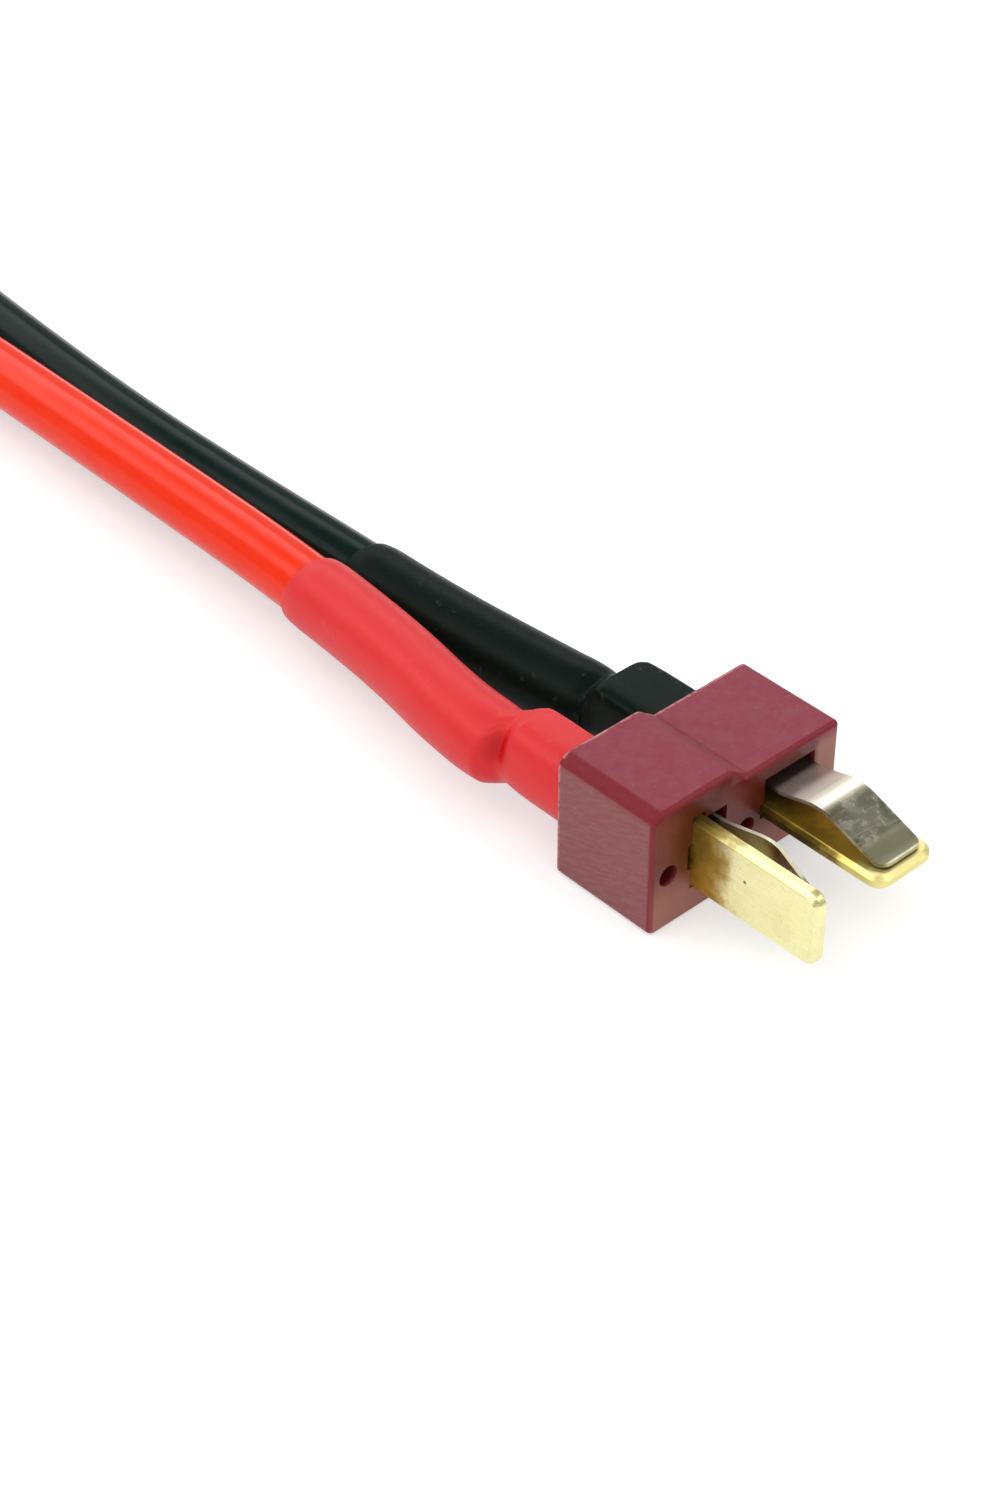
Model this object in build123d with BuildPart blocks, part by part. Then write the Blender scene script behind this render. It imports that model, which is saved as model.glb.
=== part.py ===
"""A male T plug with two spring-loaded blades, on a short pair of soldered wires.

Millimetres, +Z up. The plug lies along Y: its blades point to -Y and its wires leave to +Y.
The origin is on the surface that the plug lies on, under the middle of the plug without its wires.
"""
import os
from math import radians, tan

from build123d import *

os.makedirs("parts", exist_ok=True)

# Housing: a tall half and a low half, joined by a ramp above and below
housing_width = 15.8
housing_height = 9.0
housing_depth = 8.0
tall_half_width = 6.5
ramp_run = 1.4
ramp_drop = 1.0
tall_top_radius = 0.95
tall_bottom_radius = 0.5
low_end_radius = 0.35
ramp_radius = 0.5
mating_edge_radius = 0.32
rear_edge_radius = 0.18

# Contact blades: one upright and one lying flat, each reaching out from the mating face
upright_blade_width = 5.3
upright_blade_reach = 9.9
upright_blade_inset = 3.3
upright_blade_height = 4.6
flat_blade_width = 4.95
flat_blade_reach = 9.5
flat_blade_inset = 11.6
flat_blade_height = 4.5
blade_thickness = 1.0
blade_bevel = 0.28
blade_tip_radius = 1.0
shoulder_depth = 6.2
tab_width = 4.3
tab_length = 5.6
tab_corner = 0.4
blade_fit = 0.02

# Leaf springs: a bowed strip on the inner side of each blade, distances from the mating face
upright_leaf_width = 3.75
upright_leaf_shift = 0.0
flat_leaf_width = 3.6
flat_leaf_shift = 0.16
leaf_thickness = 0.25
leaf_blade_gap = 0.04
leaf_tail = 3.0
leaf_tail_height = 0.93
leaf_bend = 0.9
leaf_bend_height = 0.97
leaf_bend_radius = 4.0
leaf_crown = 3.9
leaf_crown_height = 1.8
leaf_crown_radius = 3.5
leaf_toe = 8.35
leaf_toe_length = 0.6
leaf_toe_lift = 0.06
leaf_toe_radius = 1.2
leaf_corner = 0.8

# Pocket that the leaf's tail moves in, and the narrow relief beside each blade
pocket_width = 4.3
pocket_shift = -0.06
pocket_height = 1.85
pocket_clearance = 1.0
relief_length = 1.9
relief_shift = 0.2
relief_width = 0.3
relief_depth = 3.0

# Two blind core holes in the mating face
core_hole_radius = 0.72
core_hole_depth = 3.0
core_hole_height = 4.02
core_hole_insets = (1.4, 7.9)

# Wires: silicone insulation over a bundle of fine copper strands
wire_diameter = 4.4
strand_diameter = 2.5
soldered_length = 6.0
tinned_diameter = 2.4
tinned_length = 6.0
arc_share = 0.45

# Solder between each tab and its strands
solder_start = 1.0
solder_length = 4.2
solder_foot = 3.7
solder_top = 2.3
solder_height = 1.6
solder_edge_radius = 0.3

# Heat-shrink sleeves over the tabs and the first stretch of each wire
sleeve_wall = 0.4
red_sleeve_length = 29.0
black_sleeve_length = 29.0
sleeve_tab_corner = 0.5
sleeve_wire_corner = 2.3
sleeve_slack = 0.1
sleeve_tab_overhang = 0.3
sleeve_waist = 4.8
sleeve_waist_reach = 0.4
sleeve_full_reach = 2.0
round_share = 0.49

# Places that follow from the sizes above
longest_reach = max(upright_blade_reach, flat_blade_reach)
overall_length = longest_reach + housing_depth + tab_length
face_y = longest_reach - overall_length / 2
rear_y = face_y + housing_depth
tall_end_x = -housing_width / 2
low_end_x = housing_width / 2
ramp_top_x = tall_end_x + tall_half_width
ramp_foot_x = ramp_top_x + ramp_run
low_bottom_z = ramp_drop
low_top_z = housing_height - ramp_drop

# Each contact plane lies on the blade face that its leaf spring bears on, at the mating face:
# its x runs across the blade, its y towards the wires and its normal towards the leaf
upright_contact = Plane(
    origin=(tall_end_x + upright_blade_inset + blade_thickness, face_y, upright_blade_height),
    x_dir=(0, 0, -1),
    z_dir=(1, 0, 0),
)
flat_contact = Plane(
    origin=(tall_end_x + flat_blade_inset, face_y, flat_blade_height + blade_thickness / 2),
    x_dir=(1, 0, 0),
    z_dir=(0, 0, 1),
)

# Centre lines of the insulation, from the stripped end at its tab to the stripped free end
red_route = [
    (-5.87, 13.45, 4.50),
    (-5.87, 16.95, 4.50),
    (-4.30, 25.20, 4.42),
    (-3.28, 38.15, 4.25),
    (-2.95, 51.15, 4.08),
    (-2.74, 64.15, 4.00),
    (-2.50, 77.15, 3.85),
    (-3.00, 89.15, 3.00),
    (-3.50, 100.15, 2.24),
]
black_route = [
    (2.89, 13.45, 2.71),
    (2.45, 18.15, 2.68),
    (1.65, 27.15, 2.66),
    (1.55, 36.65, 2.63),
    (1.62, 48.15, 2.27),
    (1.58, 60.15, 2.24),
    (2.25, 73.15, 2.24),
    (3.30, 87.15, 2.24),
    (4.00, 100.15, 2.24),
]


def face_plane(contact, y, across=0.0, outward=0.0):
    """A plane square to Y at the given y: its x runs across the blade and its y towards the leaf."""
    centre = contact.origin + contact.x_dir * across + contact.z_dir * outward
    return Plane(origin=(centre.X, y, centre.Z), x_dir=contact.x_dir, z_dir=-contact.y_dir)


def bend_radii(route):
    """The radius of each arc: a share of the shorter run, over the tangent of half the turn."""
    corners = [Vector(*point) for point in route]
    radii = []
    for before, corner, after in zip(corners, corners[1:], corners[2:]):
        arriving = corner - before
        leaving = after - corner
        half_turn = radians(arriving.get_angle(leaving)) / 2
        radii.append(arc_share * min(arriving.length, leaving.length) / tan(half_turn))
    return radii


def soldered_route(route):
    """The same centre line, carried on straight along the tab by the soldered length."""
    first, second = Vector(*route[0]), Vector(*route[1])
    start = first + (first - second).normalized() * soldered_length
    return [start, *route[1:]]


def centre_at(route, y):
    """The point of the route's straight runs at the given y."""
    points = [Vector(*point) for point in route]
    for start, end in zip(points, points[1:]):
        if y <= end.Y:
            break
    return start + (end - start) * ((y - start.Y) / (end.Y - start.Y))


def build_blade(contact, width, reach):
    """A stamped blade with a bevelled nose, a shoulder inside the housing and a solder tab."""
    tab_reach = housing_depth + tab_length - shoulder_depth
    with BuildPart() as blade:
        with BuildSketch(contact):
            with Locations((0, (shoulder_depth - reach) / 2)):
                Rectangle(width, reach + shoulder_depth)
            fillet(vertices().group_by(Axis.Y)[0], radius=blade_tip_radius)
            with BuildSketch(mode=Mode.PRIVATE) as tab:
                with Locations((0, shoulder_depth + tab_reach / 2)):
                    Rectangle(tab_width, tab_reach)
                chamfer(tab.vertices().group_by(Axis.Y)[-1], length=tab_corner)
            add(tab.sketch)
        extrude(amount=-blade_thickness)
        broad_faces = faces().filter_by(contact)
        nose_edges = broad_faces.edges().filter_by(
            lambda edge: edge.center().Y < face_y + shoulder_depth / 2
        )
        chamfer(nose_edges, length=blade_bevel)
    return blade


def build_leaf(contact, width, shift):
    """A bowed spring strip: its tail runs into the pocket and its toe bears on the blade."""
    side = Plane(
        origin=contact.origin + contact.x_dir * shift,
        x_dir=contact.y_dir,
        z_dir=contact.x_dir,
    )
    toe_height = leaf_blade_gap + leaf_thickness / 2
    with BuildPart() as leaf:
        with BuildLine(side):
            FilletPolyline(
                (leaf_tail, leaf_tail_height),
                (-leaf_bend, leaf_bend_height),
                (-leaf_crown, leaf_crown_height),
                (-leaf_toe, toe_height),
                (-leaf_toe - leaf_toe_length, toe_height + leaf_toe_lift),
                radius=[leaf_bend_radius, leaf_crown_radius, leaf_toe_radius],
            )
        with BuildSketch(face_plane(contact, face_y + leaf_tail, shift, leaf_tail_height)):
            Rectangle(width, leaf_thickness)
        sweep()
        toe_corners = edges().filter_by(
            lambda edge: edge.length < 2 * leaf_thickness
        ).group_by(Axis.Y)[0]
        fillet(toe_corners, radius=leaf_corner)
    return leaf


def build_conductor(route):
    """The strand bundle of one wire, from its solder joint to its tinned free end."""
    with BuildPart() as conductor:
        with BuildLine() as centre_line:
            FilletPolyline(*soldered_route(route), radius=bend_radii(route))
        with BuildSketch(Plane(origin=centre_line.line @ 0, z_dir=centre_line.line % 0)):
            Circle(strand_diameter / 2)
        sweep()
        with BuildSketch(Plane(origin=centre_line.line @ 1, z_dir=centre_line.line % 1)):
            Circle(tinned_diameter / 2)
        extrude(amount=tinned_length)
    return conductor


def build_insulation(route):
    """The insulation of one wire, a plain tube around the strand bundle."""
    with BuildPart() as insulation:
        with BuildLine() as centre_line:
            FilletPolyline(*route, radius=bend_radii(route))
        with BuildSketch(Plane(origin=centre_line.line @ 0, z_dir=centre_line.line % 0)):
            Circle(wire_diameter / 2)
            Circle(strand_diameter / 2, mode=Mode.SUBTRACT)
        sweep()
    ring = (wire_diameter**2 - strand_diameter**2) * 0.7854
    length = sum(edge.length for edge in centre_line.edges())
    print("insulation", round(length, 2), "mm, volume", round(insulation.part.volume, 2),
          "against section times length", round(ring * length, 2),
          "radii", [round(radius, 1) for radius in bend_radii(route)])
    return insulation


def build_solder(contact, route, conductor):
    """A solder mound on the tab's outer face, shaped round the strands that lie in it."""
    strands = centre_at(route, rear_y + tab_length / 2)
    across = (strands - contact.origin).dot(contact.x_dir)
    start_plane = face_plane(contact, rear_y + solder_start, across, -blade_thickness)
    with BuildPart() as solder:
        with BuildSketch(start_plane):
            with BuildLine():
                Polyline(
                    (-solder_foot / 2, 0),
                    (solder_foot / 2, 0),
                    (solder_top / 2, -solder_height),
                    (-solder_top / 2, -solder_height),
                    close=True,
                )
            make_face()
        extrude(amount=-solder_length)
        outer_edges = faces().sort_by(Axis(contact.origin, contact.z_dir))[0].edges()
        fillet(outer_edges, radius=solder_edge_radius)
        add(conductor.part, mode=Mode.SUBTRACT)
    return solder


def build_sleeve(contact, route, length, contents):
    """A shrunk sleeve: box-shaped over the tab and its strands, waisted, then round on the wire."""
    hug_width = tab_width + 2 * sleeve_wall
    hug_height = blade_thickness + strand_diameter + sleeve_slack + 2 * sleeve_wall
    hug_outward = sleeve_wall - hug_height / 2
    insulation_start = route[0][1]
    round_size = wire_diameter + 2 * sleeve_wall
    hug_end = rear_y + tab_length + sleeve_tab_overhang
    round_places = [
        (insulation_start + sleeve_waist_reach, sleeve_waist),
        (insulation_start + sleeve_full_reach, round_size),
        (route[1][1], round_size),
        (route[2][1], round_size),
        (rear_y + length, round_size),
    ]
    with BuildPart() as sleeve:
        for y in (rear_y, hug_end):
            with BuildSketch(face_plane(contact, y, outward=hug_outward)):
                Rectangle(hug_width, hug_height)
                fillet(vertices().group_by(Axis.Y)[0], radius=sleeve_wire_corner)
                fillet(vertices().group_by(Axis.Y)[-1], radius=sleeve_tab_corner)
        for y, size in round_places:
            offset_to_wire = centre_at(route, y) - contact.origin
            across = offset_to_wire.dot(contact.x_dir)
            outward = offset_to_wire.dot(contact.z_dir)
            with BuildSketch(face_plane(contact, y, across, outward)):
                RectangleRounded(size, size, size * round_share)
        loft(ruled=True)
        for piece in contents:
            add(piece.part, mode=Mode.SUBTRACT)
    return sleeve


# Housing
with BuildPart() as housing:
    with BuildSketch(Plane.XZ.offset(-face_y)):
        with BuildLine():
            Polyline(
                (tall_end_x, 0),
                (ramp_top_x, 0),
                (ramp_foot_x, low_bottom_z),
                (low_end_x, low_bottom_z),
                (low_end_x, low_top_z),
                (ramp_foot_x, low_top_z),
                (ramp_top_x, housing_height),
                (tall_end_x, housing_height),
                close=True,
            )
        make_face()
        # the profile is drawn flat, so its own Y is the height
        fillet(vertices().group_by(Axis.X)[0].sort_by(Axis.Y)[-1], radius=tall_top_radius)
        fillet(vertices().group_by(Axis.X)[0].sort_by(Axis.Y)[0], radius=tall_bottom_radius)
        fillet(vertices().group_by(lambda corner: abs(corner.X - ramp_top_x))[0], radius=ramp_radius)
        fillet(vertices().group_by(Axis.X)[-1], radius=low_end_radius)
    extrude(amount=-housing_depth)
    fillet(faces().sort_by(Axis.Y)[0].edges(), radius=mating_edge_radius)
    fillet(faces().sort_by(Axis.Y)[-1].edges(), radius=rear_edge_radius)
    for contact, blade_width in (
        (upright_contact, upright_blade_width),
        (flat_contact, flat_blade_width),
    ):
        with BuildSketch(face_plane(contact, face_y)):
            with Locations((0, -blade_thickness / 2)):
                Rectangle(blade_width + 2 * blade_fit, blade_thickness + 2 * blade_fit)
        extrude(amount=-shoulder_depth - blade_fit, mode=Mode.SUBTRACT)
        with BuildSketch(face_plane(contact, face_y)):
            with Locations((0, -blade_thickness / 2)):
                Rectangle(tab_width + 2 * blade_fit, blade_thickness + 2 * blade_fit)
        extrude(amount=-housing_depth, mode=Mode.SUBTRACT)
        with BuildSketch(face_plane(contact, face_y)):
            with Locations((pocket_shift, pocket_height / 2)):
                Rectangle(pocket_width, pocket_height)
        extrude(amount=-leaf_tail - pocket_clearance, mode=Mode.SUBTRACT)
        with BuildSketch(face_plane(contact, face_y)):
            with Locations((relief_shift, -blade_thickness - relief_width / 2)):
                Rectangle(relief_length, relief_width)
        extrude(amount=-relief_depth, mode=Mode.SUBTRACT)
    with BuildSketch(Plane.XZ.offset(-face_y)):
        with Locations([(tall_end_x + inset, core_hole_height) for inset in core_hole_insets]):
            Circle(core_hole_radius)
    extrude(amount=-core_hole_depth, mode=Mode.SUBTRACT)
housing.part.label = "housing"
export_step(housing.part, "parts/housing.step")

# Blades
upright_blade = build_blade(upright_contact, upright_blade_width, upright_blade_reach)
upright_blade.part.label = "upright_blade"
export_step(upright_blade.part, "parts/upright_blade.step")

flat_blade = build_blade(flat_contact, flat_blade_width, flat_blade_reach)
flat_blade.part.label = "flat_blade"
export_step(flat_blade.part, "parts/flat_blade.step")

# Leaf springs
upright_leaf_spring = build_leaf(upright_contact, upright_leaf_width, upright_leaf_shift)
upright_leaf_spring.part.label = "upright_leaf_spring"
export_step(upright_leaf_spring.part, "parts/upright_leaf_spring.step")

flat_leaf_spring = build_leaf(flat_contact, flat_leaf_width, flat_leaf_shift)
flat_leaf_spring.part.label = "flat_leaf_spring"
export_step(flat_leaf_spring.part, "parts/flat_leaf_spring.step")

# Red wire, soldered to the upright blade
red_conductor = build_conductor(red_route)
red_conductor.part.label = "red_conductor"
export_step(red_conductor.part, "parts/red_conductor.step")

red_insulation = build_insulation(red_route)
red_insulation.part.label = "red_insulation"
export_step(red_insulation.part, "parts/red_insulation.step")

red_solder_joint = build_solder(upright_contact, red_route, red_conductor)
red_solder_joint.part.label = "red_solder_joint"
export_step(red_solder_joint.part, "parts/red_solder_joint.step")

red_heat_shrink = build_sleeve(
    upright_contact,
    red_route,
    red_sleeve_length,
    (upright_blade, red_solder_joint, red_conductor, red_insulation),
)
red_heat_shrink.part.label = "red_heat_shrink"
export_step(red_heat_shrink.part, "parts/red_heat_shrink.step")

# Black wire, soldered to the flat blade
black_conductor = build_conductor(black_route)
black_conductor.part.label = "black_conductor"
export_step(black_conductor.part, "parts/black_conductor.step")

black_insulation = build_insulation(black_route)
black_insulation.part.label = "black_insulation"
export_step(black_insulation.part, "parts/black_insulation.step")

black_solder_joint = build_solder(flat_contact, black_route, black_conductor)
black_solder_joint.part.label = "black_solder_joint"
export_step(black_solder_joint.part, "parts/black_solder_joint.step")

black_heat_shrink = build_sleeve(
    flat_contact,
    black_route,
    black_sleeve_length,
    (flat_blade, black_solder_joint, black_conductor, black_insulation),
)
black_heat_shrink.part.label = "black_heat_shrink"
export_step(black_heat_shrink.part, "parts/black_heat_shrink.step")
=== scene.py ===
"""The looks of a male T plug on two short silicone wires, laid out as a Blender add-on and run as a script.

Metres, +Z up. The plug lies along Y: its blades point to -Y and its wires leave to +Y.
"""
import math

import bpy
import numpy as np
from bpy.props import FloatProperty, FloatVectorProperty, IntProperty, PointerProperty
from bpy.types import Operator, Panel, PropertyGroup
from mathutils import Matrix, Vector


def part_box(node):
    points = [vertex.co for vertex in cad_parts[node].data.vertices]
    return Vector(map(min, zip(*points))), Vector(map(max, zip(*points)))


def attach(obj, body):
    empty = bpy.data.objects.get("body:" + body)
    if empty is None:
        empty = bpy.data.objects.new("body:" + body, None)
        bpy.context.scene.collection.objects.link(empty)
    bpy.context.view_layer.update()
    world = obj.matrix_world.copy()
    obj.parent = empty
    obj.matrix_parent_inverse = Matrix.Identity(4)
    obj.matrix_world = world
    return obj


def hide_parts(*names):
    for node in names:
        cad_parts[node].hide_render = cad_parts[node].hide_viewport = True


bl_info = {
    "name": "T Plug Dressing",
    "version": (1, 0, 0),
    "blender": (4, 5, 0),
    "location": "3D View > Sidebar > T Plug",
    "description": "Wires, shrunk sleeves, finishes and stage for a male T plug",
    "category": "Object",
}

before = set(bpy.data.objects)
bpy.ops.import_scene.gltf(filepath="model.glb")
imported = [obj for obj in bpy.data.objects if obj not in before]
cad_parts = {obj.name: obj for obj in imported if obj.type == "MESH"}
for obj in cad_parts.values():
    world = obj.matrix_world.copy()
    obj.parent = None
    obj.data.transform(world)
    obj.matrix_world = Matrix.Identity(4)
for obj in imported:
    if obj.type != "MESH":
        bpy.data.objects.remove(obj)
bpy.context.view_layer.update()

MM = 0.001
BODY = "plug"
WHITE = (1.0, 1.0, 1.0)
BLACK = (0.0, 0.0, 0.0)

# The housing's ramp in millimetres: where its top and foot lie along X, and how far it drops
RAMP_TOP_X = -1.4
RAMP_FOOT_X = 0.0
STEP = 1.0
# Where the mating face has painted brown shade and painted reflection of the blades, in millimetres: bottom
# and top beside the upright blade, and left, right and top round the lying blade and its leaf spring
UPRIGHT_SHADE_HEIGHTS = (2.0, 7.2)
FLAT_SHADE_SIDES = (1.3, 5.6)
FLAT_SHADE_TOP = 6.2
# How far the scoring on the tall end is turned about X
SCORING_TILT = math.radians(19.6)
# Place of the dark fleck on the upright blade, in millimetres
GOLD_FLECK = (-4.6, -6.12, 5.14)
# How deep light goes under the skin of plastic
SKIN_DEPTH = 0.0006

# The tent's light as steps in height, from -1 below to 1 above: where each starts and ends, and the light
# that it adds before and after
TENT_STEPS = ((0.44, 0.54, 0.45, 2.8), (0.65, 0.72, 0.0, -2.65), (0.82, 0.90, 0.0, 0.25))
# Where the soft lamp points, and how far the floor reaches each way
LAMP_AIM = Vector((0.0, 0.02, 0.0))
FLOOR_REACH = 3.0

# Control points of the two wires' centre lines, from the stripped end at the tab to the free end
RED_ROUTE = np.array([
    (-5.87, 13.45, 4.50),
    (-5.87, 16.95, 4.50),
    (-4.30, 25.20, 4.42),
    (-3.28, 38.15, 4.25),
    (-2.95, 51.15, 4.08),
    (-2.74, 64.15, 4.00),
    (-2.50, 77.15, 3.85),
    (-3.00, 89.15, 3.00),
    (-3.50, 100.15, 2.24),
]) * MM
BLACK_ROUTE = np.array([
    (2.89, 13.45, 2.71),
    (2.45, 18.15, 2.68),
    (1.65, 27.15, 2.66),
    (1.55, 36.65, 2.63),
    (1.62, 48.15, 2.27),
    (1.58, 60.15, 2.24),
    (2.25, 73.15, 2.24),
    (3.30, 87.15, 2.24),
    (4.00, 100.15, 2.24),
]) * MM
ROUTES = {"red": RED_ROUTE, "black": BLACK_ROUTE}

# The strands: points round for each ridge, the ridges' depth as a share of the tip's diameter, and the last
# rings of the tip as shares of its radius
STRAND_SIDES = 4
RIDGE_DEPTH = 0.035
TIP_ROUNDING = (0.985, 0.93, 0.80, 0.55)

# Sections of each sleeve along Y in millimetres: y, middle x and z, reach to the left, right, up and down,
# then the squareness of the upper left, upper right, lower left and lower right quarters
RED_SECTIONS = np.array([
    (6.16, -4.40, 4.60, 3.10, 1.22, 2.82, 2.42, 2.3, 7.0, 2.1, 5.0),
    (9.00, -4.40, 4.60, 3.10, 1.22, 2.84, 2.42, 2.3, 7.0, 2.1, 5.0),
    (10.40, -4.40, 4.60, 3.08, 1.22, 2.86, 2.42, 2.3, 6.5, 2.1, 4.6),
    (11.20, -4.50, 4.60, 2.94, 1.34, 2.86, 2.32, 2.3, 6.0, 2.1, 4.0),
    (11.80, -4.80, 4.59, 2.66, 1.58, 2.78, 2.26, 2.2, 4.2, 2.0, 3.0),
    (12.30, -5.20, 4.56, 2.50, 1.92, 2.64, 2.34, 2.0, 3.0, 2.0, 2.4),
    (12.80, -5.60, 4.52, 2.50, 2.26, 2.62, 2.44, 2.0, 2.2, 2.0, 2.0),
    (13.40, -5.84, 4.50, 2.58, 2.54, 2.58, 2.56, 2.0, 2.0, 2.0, 2.0),
    (14.60, -5.86, 4.50, 2.59, 2.64, 2.62, 2.62, 2.0, 2.0, 2.0, 2.0),
    (17.00, -5.82, 4.50, 2.60, 2.60, 2.60, 2.60, 2.0, 2.0, 2.0, 2.0),
])
BLACK_SECTIONS = np.array([
    (6.16, 3.70, 3.60, 2.50, 2.52, 2.06, 2.52, 7.0, 9.0, 2.8, 2.2),
    (9.00, 3.70, 3.60, 2.50, 2.48, 2.12, 2.52, 7.0, 9.0, 2.8, 2.2),
    (12.10, 3.68, 3.60, 2.48, 2.34, 2.20, 2.50, 7.0, 8.5, 2.7, 2.2),
    (12.62, 3.62, 3.56, 2.46, 2.18, 2.18, 2.42, 6.0, 7.0, 2.5, 2.1),
    (12.94, 3.46, 3.36, 2.46, 2.08, 2.08, 2.32, 4.0, 4.4, 2.3, 2.0),
    (13.28, 3.20, 3.04, 2.42, 2.12, 2.10, 2.24, 2.6, 2.6, 2.1, 2.0),
    (13.70, 2.96, 2.79, 2.44, 2.32, 2.28, 2.36, 2.0, 2.0, 2.0, 2.0),
    (14.50, 2.83, 2.70, 2.58, 2.54, 2.55, 2.56, 2.0, 2.0, 2.0, 2.0),
    (15.60, 2.74, 2.69, 2.61, 2.61, 2.61, 2.61, 2.0, 2.0, 2.0, 2.0),
    (17.20, 2.60, 2.68, 2.60, 2.60, 2.60, 2.60, 2.0, 2.0, 2.0, 2.0),
])

# Dimples where a sleeve sank in at its neck: distance along Y in millimetres, angle round the ring in
# degrees from +X towards +Z, depth and reach along Y in millimetres, and reach round in degrees
RED_DIMPLES = ((12.25, 148.0, 0.50, 0.52, 32.0),)
BLACK_DIMPLES = ((13.45, 160.0, 0.12, 0.50, 40.0),)
# Place and reach in millimetres of the painted shade in the red sleeve's crease, where its colour deepens
RED_CREASE_SHADES = (((-6.9, 12.20, 5.5), 1.0),)

# The sleeves' grid: points round, the places along Y where the rings' spacing changes, and the rings before,
# between and past those places
SLEEVE_SIDES = 128
SLEEVE_STATIONS = (10.0 * MM, 16.0 * MM)
SLEEVE_STEPS = (20, 110, 50)
# Where along Y in millimetres a sleeve's middle starts to pass from the tab to the wire
SLEEVE_LEAVES_TAB = 13.5
# The thinning of a sleeve's lip as a share of its wall, and over what length its end becomes slanted, with
# the share of the slant that goes each to the right and up
LIP_THINNING = 0.26
SLANT_REACH = 6.0 * MM
SLANT_SHARE = 0.7


# Properties

def colour(name, description, value):
    """A linear colour property, red, green and blue from 0 to 1."""
    return FloatVectorProperty(
        name=name, description=description, default=value, subtype="COLOR", size=3, min=0, max=1
    )


def length(name, description, value):
    """A length property in metres."""
    return FloatProperty(
        name=name, description=description, default=value, unit="LENGTH", min=0, precision=5
    )


class TPlugSizes(PropertyGroup):
    """Sizes of the wires, their strands and the sleeves."""

    wire: length("Wire", "Outer diameter of the insulation", 0.0044)
    strands: length("Strands", "Diameter of the strand bundle in the insulation", 0.0025)
    tip: length("Tinned tip", "Diameter of the tinned free end", 0.0024)
    tip_length: length("Tip length", "Bare length of the tinned free end", 0.006)
    soldered_length: length("Soldered length", "Strands that lie in the solder on the tab", 0.006)
    sleeve_wall: length("Sleeve wall", "Wall of the shrunk sleeve", 0.0004)
    red_sleeve_end: length("Red sleeve end", "Where the red sleeve ends, along Y", 0.03405)
    black_sleeve_end: length("Black sleeve end", "Where the black sleeve ends, along Y", 0.03490)
    sleeve_slant: length("Sleeve slant", "How far each sleeve's end is cut aslant", 0.0004)
    sleeve_lip: length("Sleeve lip", "How far the rounded lip of a sleeve reaches", 0.00015)
    sleeve_thinning: length("Sleeve thinning", "Over what length a sleeve thins to its end", 0.0016)
    ridges: IntProperty(
        name="Strand ridges", description="Strands seen round the tinned tip", default=22, min=6, max=60
    )
    twist: FloatProperty(
        name="Strand twist", description="Turn of the strands for each metre of wire",
        default=41.8182, subtype="ANGLE",
    )


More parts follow.
